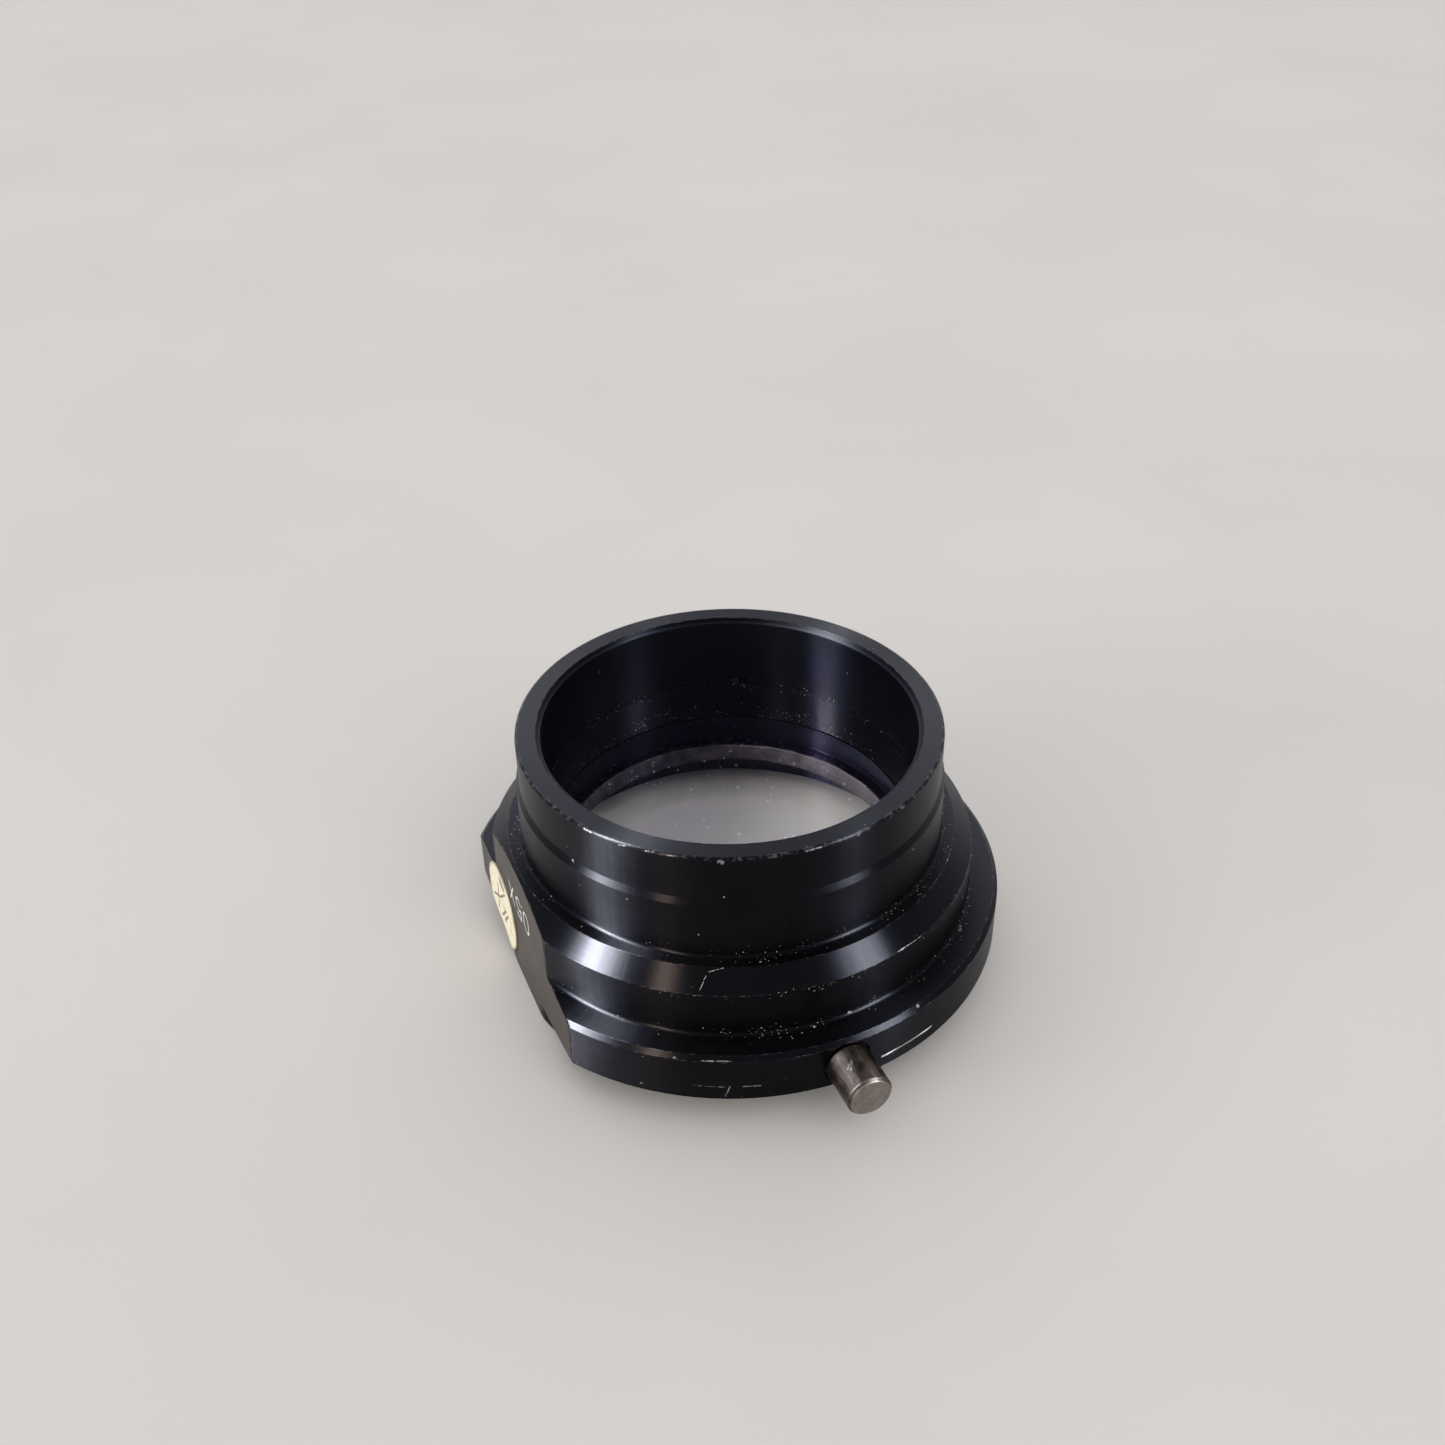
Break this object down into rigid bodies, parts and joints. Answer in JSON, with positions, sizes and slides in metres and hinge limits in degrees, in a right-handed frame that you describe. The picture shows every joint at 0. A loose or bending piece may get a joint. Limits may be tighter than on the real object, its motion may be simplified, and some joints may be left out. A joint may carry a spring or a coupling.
{
  "type": "auxiliary lens",
  "caption": "Auxiliary half-magnification lens: a coated doublet held by a slotted ring in a black stepped cell with a keying flat and a steel index pin.",
  "frame": {"origin": "on the optical axis at the foot of the spigot, which is the face the cell stands on", "axes": "+Z along the optical axis towards the open neck, -Y along the index pin, -X out of the keying flat"},
  "size_m": [0.056, 0.0663, 0.0303],
  "materials": {
    "black_anodise": "satin black anodised, machined",
    "coated_glass": "polished, with a blue-violet coating",
    "ring_anodise": "matte black anodised",
    "pin_steel": "ground and slightly dulled",
    "mark_white": "white engraving filler",
    "label_paper": "aged cream paper"
  },
  "bodies": {
    "root": {"housing": "black_anodise", "crown_lens": "coated_glass", "flint_lens": "coated_glass", "retaining_ring": "ring_anodise", "index_pin": "pin_steel", "mark_paint": "mark_white", "paper_label": "label_paper"}
  },
  "joints": []
}
